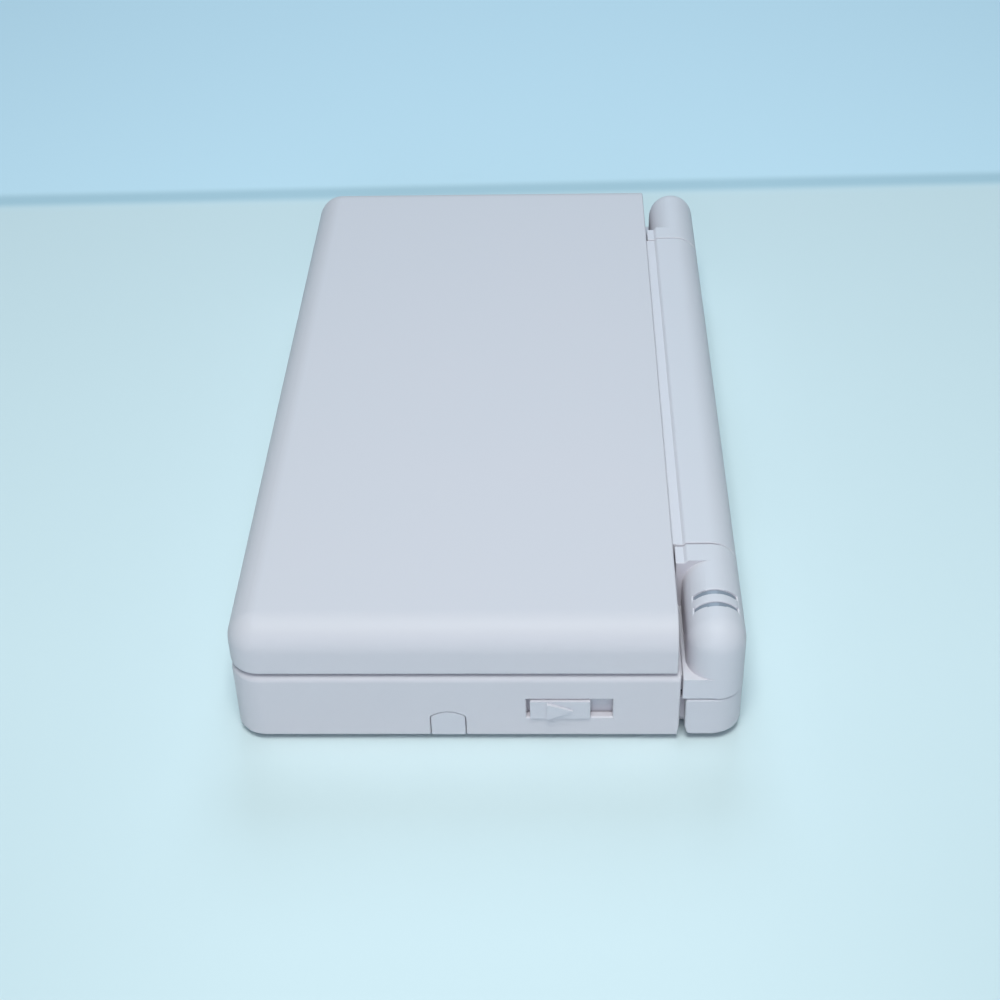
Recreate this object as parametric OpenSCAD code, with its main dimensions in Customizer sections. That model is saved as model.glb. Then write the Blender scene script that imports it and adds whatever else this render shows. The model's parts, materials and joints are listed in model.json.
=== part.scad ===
// Clamshell handheld game console, closed on a table.
// X runs across the console, Y from the front edge to the hinge, Z up.
// The origin is on the table, under the middle of the console.

/* [Overall] */
// Width across both halves
body_w = 133; // [130:0.5:138]
// Depth from the front edge to the back of the hinge barrel
body_d = 73.9; // [73:0.1:77]
// Height of the rubber feet
foot_h = 0.6; // [0.4:0.1:1]
// Height of the lower half from its underside to its rim
base_h = 12; // [11.9:0.1:13]
// Gap between the two halves when closed
rim_gap = 0.55; // [0.4:0.05:0.7]
// Height of the lid from its lower edge to its top face
lid_h = 8.35; // [8.2:0.05:9]

/* [Shells] */
// Wall of the two outer cases
shell_t = 1.4; // [1.2:0.1:1.5]
// Floor of the lower outer case
floor_t = 1; // [0.9:0.05:1.1]
// Radius of the rolled edge and front corners of the lid
lid_roll_r = 4.6; // [4:0.1:5]
// Radius of the front corners of the lower half
base_corner_r = 4.6; // [4:0.1:5]
// Bevel under the lower half
base_bevel = 0.8; // [0.5:0.1:0.9]
// Rounding of the lower half's rim
rim_round_r = 1.1; // [0.8:0.1:1.3]
// Rounding of the lid's lower edge
lid_edge_r = 0.45; // [0.3:0.05:0.6]
// Thickness of the two inner cases
inner_t = 1.1; // [1:0.1:1.2]
// Depth of the control deck below the rim
deck_drop = 0.4; // [0.35:0.05:0.5]
// Height of the lid's inner face above its lower edge
bezel_rise = 0.7; // [0.6:0.05:0.9]
// Clearance between an inner case and the outer case around it
nest_gap = 0.1; // [0.05:0.05:0.2]

/* [Hinge] */
// Radius of the long hinge barrel on the lid and of the two knuckles
barrel_r = 4.2; // [4.1:0.05:4.3]
// Depth of the barrel's top below the lid's top
barrel_drop = 0.8; // [0.7:0.05:0.9]
// Length of a hinge knuckle of the lower half, from the side to the barrel
knuckle_len = 20.15; // [19:0.05:21]
// Distance from the hinge axis forward to the front of the barrel's web
web_len = 5.25; // [5:0.05:5.4]
// Distance from the hinge axis forward to the front of the barrel's flat crest
crest_len = 3.55; // [3.2:0.05:3.8]
// Gap between the barrel and a knuckle, and between the lid and a knuckle
hinge_gap = 0.3; // [0.25:0.05:0.4]
// Length of the full-section shoulder at the inner end of a knuckle
shoulder_len = 3.95; // [3:0.05:5]
// Depth of the flat strip beside the barrel below the lid's top
strip_drop = 1.25; // [1.1:0.05:1.4]
// Radius of the hinge bush and clutch unit
clutch_r = 3; // [2.9:0.05:3.05]
// Radius of the hinge shaft
shaft_r = 2; // [1.7:0.1:2.1]
// Radial running clearance of the hinge
run_gap = 0.05; // [0.03:0.01:0.08]
// Length of the bush and the shaft inside the barrel
pin_reach = 12; // [9:1:14]
// Length of the bush and the shaft inside a knuckle
pin_seat = 7.5; // [6:0.5:7.5]
// Wall of the hollow end of a knuckle
knuckle_wall = 1.3; // [1.1:0.1:1.4]

/* [Knuckle base and shoulder buttons] */
// Distance from the hinge axis forward to the front of a knuckle's base
base_reach = 4.75; // [4.6:0.05:4.9]
// Depth of the knuckle's side shelf below the rim
shelf_drop = 0.5; // [0.4:0.1:0.7]
// Height of a knuckle's base below its shelf
shelf_h = 3.7; // [3.4:0.1:3.9]
// Height of the rear wall above the bottom of the knuckle base
rear_lip_h = 3.4; // [3:0.1:3.5]
// Gap between a knuckle base and a shoulder button
button_gap = 0.2; // [0.15:0.05:0.3]
// Gap ahead of a shoulder button, which its swing takes up
button_front_gap = 0.75; // [0.7:0.05:0.9]
// Length of a shoulder button across the back
shoulder_w = 20.6; // [18:0.2:21]
// Wall of a shoulder button
shoulder_t = 1.7; // [1.5:0.1:1.9]
// Radius of the pivot pin of a shoulder button
shoulder_pin_r = 0.8; // [0.6:0.1:0.9]

/* [Screens] */
// Margin between the picture of both screens and the side of the console
screen_side = 35.8; // [35.5:0.1:38]
// Margin between the picture and the front edge
screen_front = 9.95; // [9.8:0.05:11]
// Margin between the picture and the back of the barrel
screen_back = 17.95; // [17.8:0.05:19]
// Border of the window and the touch panel under the case
window_border = 2; // [1.6:0.1:2.2]

/* [Controls] */
// Distance of the cross pad's centre from the left side
pad_side = 17.1; // [16.5:0.1:18]
// Distance of the button cluster's centre from the right side
cluster_side = 16.9; // [16.5:0.1:18]
// Position of the controls from front to back
control_y = 3.5; // [2:0.5:5]
// Length of the cross pad's arms, tip to tip
pad_len = 17.4; // [16:0.2:18]
// Width of the cross pad's arms
pad_arm = 5.8; // [5:0.1:6.2]
// Radius of a face button
button_r = 3.6; // [3.2:0.1:3.8]
// Distance of a face button from the cluster's centre
cluster_r = 7.7; // [7.6:0.1:8]
// Radius of the two small menu buttons
menu_r = 1.9; // [1.6:0.1:2.2]
// Distance of the menu buttons from the right side
menu_side = 24.9; // [23.5:0.1:25.2]
// Distance of the nearer menu button from the front edge
menu_front = 12.45; // [12:0.05:13]
// Height of the buttons above the deck
button_proud = 1.1; // [0.8:0.1:1.1]
// Travel of the buttons
press = 0.6; // [0.4:0.05:0.65]
// Radial clearance of a button in the deck
button_fit = 0.15; // [0.12:0.01:0.2]

/* [Side slider and stylus] */
// Length of the power slider's slot
slot_len = 12.4; // [12:0.1:13]
// Height of the power slider's slot
slot_h = 3.5; // [3.3:0.1:3.7]
// Centre of the slot behind the middle of the console
slot_y = 11.9; // [11:0.1:12.5]
// Centre of the slot above the underside
slot_z = 5.95; // [5.8:0.05:6.2]
// Length of the power slider's block
slider_len = 8.7; // [8:0.05:8.8]
// Travel of the power slider
slider_travel = 2.9; // [2.5:0.05:3]
// Depth by which the slider's block stands proud of the side
slider_proud = 0.35; // [0.2:0.05:0.5]
// Height of the slider's grip over its block, at its blunt end
grip_proud = 0.5; // [0.3:0.05:0.6]
// Length of the slider's arrow-shaped grip
grip_len = 3.75; // [3:0.05:4]
// Reach of the stylus beyond the middle of the console
stylus_past = 21; // [15:0.5:22]
// Width of the stylus end seen in the side
stylus_w = 4.8; // [4.6:0.1:5]
// Height of the stylus end above the underside
stylus_h = 5; // [4.9:0.05:5.1]
// Radius of the stylus barrel
stylus_r = 1.9; // [1.7:0.05:1.95]
// Centre of the stylus behind the middle of the console
stylus_y = -5.7; // [-6:0.05:-5.4]
// Clearance round the stylus
stylus_fit = 0.2; // [0.15:0.05:0.3]

/* [Slots and sockets] */
// Width of the front cartridge slot
cart_w = 57.6; // [57:0.1:58]
// Height of the front cartridge slot
cart_h = 7.2; // [7:0.05:7.25]
// Distance of the front cartridge slot's inner end before the stylus
cart_back = 5.85; // [5.8:0.05:8]
// Width of the rear card slot
card_w = 33.8; // [33.4:0.1:35]
// Height of the rear card slot
card_h = 4.4; // [4.3:0.05:4.5]
// Distance of the rear card slot's inner end behind the middle
card_front = 2.45; // [2.4:0.05:5]
// Radius of the audio socket's bore
jack_r = 1.8; // [1.76:0.02:1.9]
// Distance of the audio socket from the right side
jack_side = 19; // [17:0.5:20]
// Distance of the charge socket's middle from the middle of the console
charge_x = 32; // [31:0.5:33]
// Depth of the charge socket
charge_d = 7; // [6:0.5:8]
// Distance of the volume slider from the left side
volume_side = 18; // [17:0.5:20]
// Travel of the volume slider each way
volume_travel = 3; // [2:0.5:3.5]

/* [Inside] */
// Distance of the battery from the left side
battery_side = 6.9; // [6.8:0.1:8]
// Distance of the battery from the middle
battery_in = 24.6; // [24.5:0.1:27]
// Distance of the battery from the front of the knuckle bases
battery_back = 7.5; // [7.4:0.1:9]
// Height of the battery
battery_h = 5.5; // [5:0.1:5.6]
// Thickness of the main board
board_t = 0.8; // [0.7:0.1:0.9]
// Radius of a case screw's shank
screw_r = 0.8; // [0.7:0.05:0.9]

/* [Hidden] */
$fn = 64;

// Colours
shell_colour = [0.87, 0.84, 0.87];
deck_colour = [0.9, 0.89, 0.92];
button_colour = [0.84, 0.82, 0.86];
dark_colour = [0.16, 0.17, 0.2];
rubber_colour = [0.62, 0.62, 0.66];
metal_colour = [0.74, 0.75, 0.77];
board_colour = [0.16, 0.4, 0.3];
guide_colour = [0.6, 0.66, 0.7];

// Levels
z_floor = foot_h;
z_inside = z_floor + floor_t;
z_rim = z_floor + base_h;
z_deck = z_rim - deck_drop;
z_deck_under = z_deck - inner_t;
z_lid = z_rim + rim_gap;
z_bezel = z_lid + bezel_rise;
z_bezel_top = z_bezel + inner_t;
z_top = z_lid + lid_h;
z_lid_under = z_top - shell_t;
z_shelf = z_rim - shelf_drop;
z_knuckle_base = z_shelf - shelf_h;
z_strip = z_top - strip_drop;
z_crest = z_top - barrel_drop;

// Plan
half_w = body_w / 2;
y_front = -body_d / 2;
y_back = body_d / 2;
inner_x = half_w - shell_t;
inner_front = y_front + shell_t;

// Hinge
barrel_y = y_back - barrel_r;
barrel_z = z_crest - barrel_r;
hinge_y = barrel_y;
hinge_z = barrel_z;
knuckle_x = half_w - knuckle_len;
barrel_half = knuckle_x - hinge_gap;
shoulder_end = knuckle_x + shoulder_len;
base_front = hinge_y - base_reach;
rear_y = base_front - 0.25;
web_front = hinge_y - web_len;
lid_back = web_front - hinge_gap;
crest_front = hinge_y - crest_len;
column_x = half_w - barrel_r;
scoop_r = norm([web_len, z_strip - hinge_z]) + 0.15;
web_half = barrel_half - 1.5;
indicator_x = [half_w - 9.4, half_w - 6.75];
seat = min(pin_seat, indicator_x[0] - 2.3 - knuckle_x);
hollow_x = knuckle_x + seat + 0.6;

// Shoulder buttons
button_x = half_w - shoulder_w;
button_low = z_floor + base_bevel;
button_top = z_knuckle_base - button_gap;
button_front = rear_y + button_front_gap;
pin_x = button_x + 3;
pin_y = y_back - shoulder_t - 2;
pin_low = z_floor + 0.3;
pin_top = z_knuckle_base + 0.6;

// Board and screens
z_board = z_inside + 5.9;
z_board_top = z_board + board_t;
dome_h = 1;
board_half_w = inner_x - 2.6;
board_back = rear_y - 2;
block_front = rear_y - 1.7;
glass_t = 0.65;
screen_w = body_w - 2 * screen_side;
screen_d = body_d - screen_front - screen_back;
screen_y = (screen_front - screen_back) / 2;
screen_gap = 0.1;
module_w = screen_w + 2 * window_border + 3;
module_d = screen_d + 2 * window_border + 1;
window_w = screen_w + 2 * window_border;
window_d = screen_d + 2 * window_border;

// Screws: columns of the lower half, then of the lid
boss_r = 2.2;
head_r = 1.6;
foot_r = 2.6;
middle_screw = card_w / 2 + boss_r + 2.8;
base_screws = [[5.5 - half_w, y_front + 5.45], [half_w - 5.5, y_front + 5.45],
               [4.2 - half_w, 0], [half_w - 5.5, y_front + 19.95],
               [-middle_screw, rear_y - 3.55], [middle_screw, rear_y - 3.55]];
lid_screws_at = [for (sx = [-1, 1]) each [[sx * (half_w - 6.5), y_front + 5.95],
                                          [sx * (half_w - 10.5), lid_back - 6.2]]];
feet_at = [for (sx = [-1, 1]) each [[sx * (half_w - 9.5), y_front + 10.95],
                                    [sx * (half_w - 28.5), y_back - 5.95]]];

// Places of the controls, sockets and slots
pad_x = half_w - pad_side;
cluster_x = half_w - cluster_side;
menu_x = half_w - menu_side;
jack_x = half_w - jack_side;
volume_x = half_w - volume_side;
stylus_len = half_w + stylus_past;
stylus_z = z_inside + stylus_r + 0.1;
cart_low = z_inside + 0.1;
cart_d = stylus_y - cart_back - inner_front;
card_low = z_inside + 1.2;
card_d = y_back - shell_t - 0.1 - card_front;
jack_z = z_inside + 3.15;
battery_x = battery_side - half_w;
battery_w = -battery_in - battery_x;
battery_y = inner_front + cart_d + 2.05;
battery_d = base_front - battery_back - battery_y;
cover_d = battery_d + 4.6;
battery_screw = [battery_x + battery_w / 2, battery_y + cover_d - 2.2];

// Runs a profile round the front and both sides of a half.
// The profile's x is the distance out from a corner's centre, its y is the height.
module around(w, front, back, r) {
    corner_y = front + r;
    for (m = [0, 1]) mirror([m, 0, 0]) {
        translate([w / 2 - r, back, 0]) rotate([90, 0, 0])
            linear_extrude(back - corner_y) children();
        translate([w / 2 - r, corner_y, 0]) rotate([0, 0, -90])
            rotate_extrude(angle = 90) children();
    }
    translate([w / 2 - r, corner_y, 0]) rotate([90, 0, -90])
        linear_extrude(w - 2 * r) children();
}

// A box by its lowest and highest corner
module block(low, high) {
    translate(low) cube(high - low);
}

// A rod along X
module rod_x(x0, x1, y, z, r) {
    translate([x0, y, z]) rotate([0, 90, 0]) cylinder(h = x1 - x0, r = r);
}

// A rod along Y
module rod_y(y0, y1, x, z, r) {
    translate([x, y1, z]) rotate([90, 0, 0]) cylinder(h = y1 - y0, r = r);
}

// An upright rod
module rod_z(x, y, z0, z1, r) {
    translate([x, y, z0]) cylinder(h = z1 - z0, r = r);
}

// A rectangle with round corners, centred on x = 0
module round_plan(w, front, back, r) {
    translate([-w / 2 + r, front]) square([w - 2 * r, back - front]);
    translate([-w / 2, front + r]) square([w, back - front - 2 * r]);
    for (sx = [-1, 1], y = [front + r, back - r])
        translate([sx * (w / 2 - r), y]) circle(r);
}

// ---- Lid ----

// Half section of the lid's outside, taken in by a wall
module lid_profile(inset, low) {
    r = lid_roll_r - inset;
    roll_z = z_top - lid_roll_r;
    translate([0, low]) square([r, roll_z - low]);
    intersection() {
        translate([0, roll_z]) circle(r);
        translate([0, roll_z]) square([r, r]);
    }
}

module lid_edge_profile() {
    difference() {
        lid_profile(0, z_lid);
        difference() {
            translate([lid_roll_r - lid_edge_r, z_lid - 1]) square([2, 1 + lid_edge_r]);
            translate([lid_roll_r - lid_edge_r, z_lid + lid_edge_r]) circle(lid_edge_r);
        }
    }
}

module lid_outer_cover() {
    plate_half = half_w - lid_roll_r;
    plate_front = y_front + lid_roll_r;
    pad_w = 7;
    color(shell_colour)
    difference() {
        union() {
            around(body_w, y_front, lid_back - shell_t, lid_roll_r)
                difference() {
                    lid_edge_profile();
                    lid_profile(shell_t, z_lid - 2);
                }
            block([-plate_half, plate_front, z_lid_under], [plate_half, lid_back - shell_t, z_top]);
            for (m = [0, 1]) mirror([m, 0, 0]) {
                translate([plate_half, lid_back, 0]) rotate([90, 0, 0])
                    linear_extrude(shell_t) lid_edge_profile();
                block([web_half + 0.2, lid_back - shell_t - 1.6, z_bezel_top + 0.1],
                      [web_half + 0.2 + pad_w, lid_back - shell_t, z_lid_under + 0.2]);
            }
            block([-plate_half, lid_back - shell_t, z_lid], [plate_half, lid_back, z_top]);
            for (p = lid_screws_at)
                rod_z(p[0], p[1], z_bezel_top + 0.05, z_lid_under + 0.2, boss_r);
        }
        block([-web_half - 0.1, lid_back - shell_t - 1, z_lid - 1],
              [web_half + 0.1, lid_back + 1, z_strip + 0.05]);
        intersection() {
            rod_x(-shoulder_end - hinge_gap, shoulder_end + hinge_gap, hinge_y, hinge_z, scoop_r);
            block([-half_w, 0, z_lid - 2], [half_w, y_back + 2, z_top - 1.1]);
        }
        for (p = lid_screws_at)
            rod_z(p[0], p[1], z_bezel, z_lid_under - 0.4, screw_r);
    }
}

// Section before the hinge axis: a flat strip, a short rise and the flat crest
module web_section(front, low) {
    polygon([[front, low], [front, z_strip], [crest_front - 0.45, z_strip],
             [crest_front, z_crest], [barrel_y, z_crest], [barrel_y, low]]);
}

module lid_inner_bezel() {
    speaker_x = half_w - 16;
    web_in = lid_back - shell_t - 2.6;
    color(deck_colour)
    difference() {
        union() {
            translate([0, 0, z_bezel]) linear_extrude(inner_t)
                round_plan(2 * (inner_x - nest_gap), inner_front + nest_gap,
                           lid_back - shell_t - nest_gap, lid_roll_r - shell_t - nest_gap);
            block([-web_half, web_in, z_bezel], [web_half, lid_back + 0.1, z_lid_under - nest_gap]);
            translate([-barrel_half, 0, 0]) rotate([90, 0, 90])
                linear_extrude(2 * barrel_half) web_section(lid_back + 0.05, z_bezel);
            rod_x(-barrel_half, barrel_half, barrel_y, barrel_z, barrel_r);
        }
        // Seat and opening of the screen window
        translate([0, screen_y, z_bezel - 1]) linear_extrude(1 + glass_t + 0.05)
            square([window_w + 2 * screen_gap, window_d + 2 * screen_gap], center = true);
        translate([0, screen_y, z_bezel - 1]) linear_extrude(inner_t + 2)
            square([screen_w, screen_d], center = true);
        // Sound holes
        for (m = [0, 1]) mirror([m, 0, 0]) {
            rod_z(speaker_x, screen_y, z_bezel - 1, z_bezel_top + 1, 0.65);
            for (a = [0:60:300])
                rod_z(speaker_x + 3.2 * cos(a), screen_y + 3.2 * sin(a),
                      z_bezel - 1, z_bezel_top + 1, 0.65);
        }
        // Rubber seats and screw holes
        for (p = lid_screws_at) {
            rod_z(p[0], p[1], z_bezel - 1, z_bezel + 0.5, boss_r + 0.05);
            rod_z(p[0], p[1], z_bezel - 1, z_bezel + 0.9, head_r + 0.1);
            rod_z(p[0], p[1], z_bezel - 1, z_bezel_top + 1, screw_r + 0.15);
        }
        // Bore of the barrel and the microphone's hole
        rod_x(-barrel_half - 1, barrel_half + 1, hinge_y, hinge_z, clutch_r + run_gap);
        rod_z(0, hinge_y, barrel_z - barrel_r - 1, hinge_z, 0.6);
    }
}

module upper_screen_window() {
    color(dark_colour)
    translate([-window_w / 2, screen_y - window_d / 2, z_bezel])
        cube([window_w, window_d, glass_t]);
}

module upper_screen_panel() {
    color(metal_colour)
    difference() {
        translate([-module_w / 2, screen_y - module_d / 2, z_bezel_top])
            cube([module_w, module_d, 2.9]);
        translate([-screen_w / 2, screen_y - screen_d / 2, z_bezel_top - 1])
            cube([screen_w, screen_d, 1.3]);
    }
}

module speaker(side) {
    speaker_x = side * (half_w - 16);
    color(dark_colour)
    difference() {
        union() {
            rod_z(speaker_x, screen_y, z_bezel_top, z_bezel_top + 2.2, 7);
            rod_z(speaker_x, screen_y, z_bezel_top + 2.2, z_lid_under - 0.3, 4.6);
        }
        rod_z(speaker_x, screen_y, z_bezel_top - 1, z_bezel_top + 0.8, 5.6);
    }
}

module left_speaker() { speaker(-1); }
module right_speaker() { speaker(1); }

module microphone() {
    color(metal_colour)
    intersection() {
        rod_z(0, hinge_y, hinge_z - clutch_r - run_gap, hinge_z + 0.6, 2);
        rod_x(-3, 3, hinge_y, hinge_z, clutch_r);
    }
}

module wireless_antenna() {
    color(board_colour)
    block([-inner_x + 1, y_front + 12, z_bezel_top], [-inner_x + 5, lid_back - 15.2, z_bezel_top + 0.8]);
}

module lid_magnet() {
    color(metal_colour)
    block([inner_x - 5, y_front + 15, z_bezel_top], [inner_x - 1, y_front + 23, z_bezel_top + 1.6]);
}

// A countersunk screw whose head faces down
module screw_up(x, y, z0, z1, head_h) {
    difference() {
        union() {
            rod_z(x, y, z0, z0 + head_h, head_r);
            rod_z(x, y, z0 + head_h, z1, screw_r - 0.03);
        }
        for (a = [0, 90])
            translate([x, y, z0]) rotate([0, 0, a])
                cube([head_r * 1.3, 0.3, head_h], center = true);
    }
}

module lid_screws() {
    color(metal_colour)
    for (p = lid_screws_at)
        screw_up(p[0], p[1], z_bezel + 0.5, z_lid_under - 1.2, 0.4);
}

module lid_bumpers() {
    color(rubber_colour)
    for (p = lid_screws_at)
        rod_z(p[0], p[1], z_deck + 0.15, z_bezel + 0.48, boss_r);
}

module hinge_clutch() {
    color(metal_colour)
    difference() {
        rod_x(barrel_half - pin_reach - 3, barrel_half - 0.2, hinge_y, hinge_z, clutch_r);
        rod_x(barrel_half - pin_reach, barrel_half + 1, hinge_y, hinge_z, shaft_r + run_gap);
    }
}

// ---- Lower half ----

// Half section of the lower outer case: floor, bevel, wall and rounded rim
module tray_profile() {
    r = base_corner_r;
    difference() {
        union() {
            polygon([[0, z_floor], [r - base_bevel, z_floor], [r, z_floor + base_bevel],
                     [r, z_rim - rim_round_r], [0, z_rim - rim_round_r]]);
            translate([r - shell_t, z_rim - rim_round_r - 1])
                square([shell_t - rim_round_r, rim_round_r + 1]);
            intersection() {
                translate([r - rim_round_r, z_rim - rim_round_r]) circle(rim_round_r);
                translate([r - rim_round_r, z_rim - rim_round_r]) square(rim_round_r);
            }
        }
        translate([-1, z_inside]) square([r - shell_t + 1, base_h]);
    }
}

// Rounded plan of the back of the lower half, for X from x0 outwards
module rear_plan(x0, front, inset) {
    r = barrel_r - inset;
    translate([x0, front]) square([column_x - x0, hinge_y + r - front]);
    translate([column_x, front]) square([r, hinge_y - front]);
    intersection() {
        translate([column_x, hinge_y]) circle(r);
        translate([column_x, hinge_y]) square(r);
    }
}

// Outline of the back of a shoulder button's pocket, seen from above
module button_plan(x0, front, inset) {
    r = base_corner_r - inset;
    cx = half_w - base_corner_r;
    cy = y_back - base_corner_r;
    translate([x0, front]) square([cx - x0, cy + r - front]);
    translate([cx, front]) square([r, cy - front]);
    intersection() {
        translate([cx, cy]) circle(r);
        translate([cx, cy]) square(r);
    }
}

// Arched outline of the stylus end and of its mouth, seen along X
module stylus_section(grow, low) {
    half = stylus_w / 2 + grow;
    top = z_floor + stylus_h + grow;
    corner = 1.3 + grow;
    crown = 3.8 + grow;
    intersection() {
        translate([stylus_y, top - crown]) circle(crown);
        union() {
            translate([stylus_y - half, low]) square([2 * half, top - corner - low]);
            translate([stylus_y - half + corner, low])
                square([2 * (half - corner), top - low]);
            for (s = [-1, 1])
                translate([stylus_y + s * (half - corner), top - corner]) circle(corner);
        }
    }
}

module cartridge_opening() {
    block([-cart_w / 2 - 0.1, y_front - 1, cart_low], [cart_w / 2 + 0.1, inner_front + 1, cart_low + cart_h]);
}

module lower_outer_case() {
    color(shell_colour)
    difference() {
        union() {
            around(body_w, y_front, rear_y - 0.05, base_corner_r) tray_profile();
            block([-half_w + base_corner_r, y_front + base_corner_r, z_floor],
                  [half_w - base_corner_r, rear_y - 0.05, z_inside]);
            // Floor behind the side walls, under the shoulder buttons
            for (m = [0, 1]) mirror([m, 0, 0]) {
                translate([0, 0, z_floor]) linear_extrude(base_bevel - button_gap)
                    button_plan(-0.01, rear_y - 1, base_bevel);
                // Front wall of a button's pocket
                block([button_x - 1.5, rear_y - 1.5, z_floor + 0.3],
                      [inner_x - 0.5, rear_y - 0.3, z_knuckle_base - 0.1]);
                // Fin that closes the view into the pocket
                block([half_w - 3.3, rear_y - 0.5, button_low + 1.2],
                      [half_w - 2.1, button_front + 0.9, button_top - 1.2]);
                // Inner end wall of a button's pocket
                block([button_x - 1.5, rear_y - 1.5, z_floor + 0.3],
                      [button_x - 0.4, y_back - 0.5, z_knuckle_base - 0.1]);
            }
            // Rear wall between the shoulder buttons
            block([-button_x + 0.4, y_back - shell_t, z_floor + 0.3],
                  [button_x - 0.4, y_back, z_knuckle_base - 0.1]);
            block([-button_x + 0.4, rear_y - 0.5, z_floor],
                  [button_x - 0.4, y_back - shell_t, z_inside]);
            // Arm that the battery cover's screw bites in
            block([battery_screw[0] - 3, battery_y + battery_d + 0.6, z_inside - 0.2],
                  [battery_screw[0] + 3, rear_y - 0.6, z_inside + 3]);
            // Screw columns
            for (p = base_screws)
                rod_z(p[0], p[1], z_inside - 0.3, z_board - 0.6, boss_r);
            // Upper and lower guides of the stylus
            for (x = [-12, 26])
                difference() {
                    block([x, stylus_y - stylus_r - 1, z_inside - 0.2],
                          [x + 3, stylus_y + stylus_r + 1, z_board - 0.2]);
                    rod_x(x - 1, x + 4, stylus_y, stylus_z, stylus_r + stylus_fit);
                }
        }
        cartridge_opening();
        // Slot of the power slider
        block([inner_x - 1, slot_y - slot_len / 2, z_floor + slot_z - slot_h / 2],
              [half_w + 1, slot_y + slot_len / 2, z_floor + slot_z + slot_h / 2]);
        // Mouth of the stylus holder
        translate([inner_x - 0.6, 0, 0]) rotate([90, 0, 90])
            linear_extrude(shell_t + 2) stylus_section(stylus_fit, z_floor - 1);
        // Rear card slot
        block([-card_w / 2, y_back - shell_t - 1, card_low],
              [card_w / 2, y_back + 1, card_low + card_h]);
        // Charge socket
        block([charge_x - 3.5, y_back - shell_t - 1, z_inside + 1.6],
              [charge_x + 3.5, y_back + 1, z_inside + 4.4]);
        // Audio socket
        rod_y(y_front - 1, inner_front + 1, jack_x, jack_z, 2.85);
        // Slot of the volume slider
        block([-volume_x - 2 - volume_travel, y_front - 1, z_inside + 3.2],
              [-volume_x + 2 + volume_travel, inner_front + 1, z_inside + 4.8]);
        // Battery opening in the floor
        block([battery_x, battery_y, z_floor - 1],
              [battery_x + battery_w + 0.4, battery_y + cover_d + 0.4, z_inside + 0.1]);
        rod_z(battery_screw[0], battery_screw[1], z_inside, z_inside + 2.5, screw_r);
        // Screw holes and head recesses
        for (sx = [-1, 1])
            rod_z(sx * pin_x, pin_y, pin_low, z_inside + 1, shoulder_pin_r + 0.02);
        for (p = base_screws) {
            rod_z(p[0], p[1], z_floor - 1, z_board, screw_r + 0.15);
            rod_z(p[0], p[1], z_floor - 1, z_floor + 0.9, head_r + 0.1);
        }
        // Seats of the feet
        for (p = feet_at)
            rod_z(p[0], p[1], z_floor - 1, z_floor + 0.25, foot_r + 0.05);
        // Notches through the floor ahead of each shoulder button
        for (m = [0, 1]) mirror([m, 0, 0])
            translate([half_w - 3.9, 0, 0]) rotate([90, 0, 90]) linear_extrude(5)
                polygon([[rear_y - 0.4, z_floor - 1], [rear_y - 0.4, z_floor], [rear_y - 0.05, z_floor + 2.2],
                         [rear_y + 0.3, z_floor + 2.2], [rear_y + 0.3, button_low],
                         [button_front + 0.85, button_low], [button_front + 0.85, z_floor - 1]]);
    }
}

// Section of the knuckle's full shoulder, seen along X: x is Y, y is Z
module shoulder_section() {
    translate([barrel_y, barrel_z]) circle(barrel_r);
    web_section(web_front, z_knuckle_base);
    translate([barrel_y - 1, z_knuckle_base])
        square([barrel_r + 1, barrel_z - z_knuckle_base]);
}

// Section of the knuckle's outer part: an arch
module arch_section(r, low) {
    translate([0, low]) square([r, hinge_z - low]);
    intersection() {
        translate([0, hinge_z]) circle(r);
        translate([0, hinge_z]) square(r);
    }
}

module knuckle_body(r, x0, low) {
    for (m = [0, 1])
        translate([x0, hinge_y, 0]) mirror([0, m, 0]) rotate([90, 0, 90])
            linear_extrude(column_x - x0) arch_section(r, low);
    translate([column_x, hinge_y, 0]) rotate([0, 0, -90])
        rotate_extrude(angle = 180) arch_section(r, low);
}

module knuckle_with_base() {
    difference() {
        union() {
            translate([knuckle_x, 0, 0]) rotate([90, 0, 90])
                linear_extrude(shoulder_len) shoulder_section();
            knuckle_body(barrel_r, shoulder_end, z_shelf);
            translate([0, 0, z_knuckle_base]) linear_extrude(shelf_h)
                rear_plan(shoulder_end, base_front, 0);
            // Tongue under the deck
            block([knuckle_x - 0.5, block_front, z_knuckle_base],
                  [inner_x - nest_gap - 0.4, base_front + 0.5, z_deck_under + 0.2]);
        }
        knuckle_body(barrel_r - knuckle_wall, hollow_x, z_knuckle_base - 1);
    }
}

module deck_opening(x, y, r) {
    rod_z(x, y, z_deck_under - 1, z_deck + 1, r);
}

module cross_plan(len, arm) {
    square([len, arm], center = true);
    square([arm, len], center = true);
}

face_angles = [90, 0, -90, 180];
function face_at(i) =
    [cluster_x + cluster_r * cos(face_angles[i]), control_y + cluster_r * sin(face_angles[i])];
menu_at = [[menu_x, y_front + menu_front + 7], [menu_x, y_front + menu_front]];

module indicator_slits(r_in, r_out, width, spread) {
    for (x = indicator_x)
        translate([x - width / 2, hinge_y, hinge_z]) rotate([90, 0, 90])
            linear_extrude(width)
                intersection() {
                    difference() {
                        circle(r_out);
                        circle(r_in);
                    }
                    polygon([[0, 0], [8 * sin(-spread), 8 * cos(spread)], [0, 9],
                             [8 * sin(spread), 8 * cos(spread)]]);
                }
}

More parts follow.
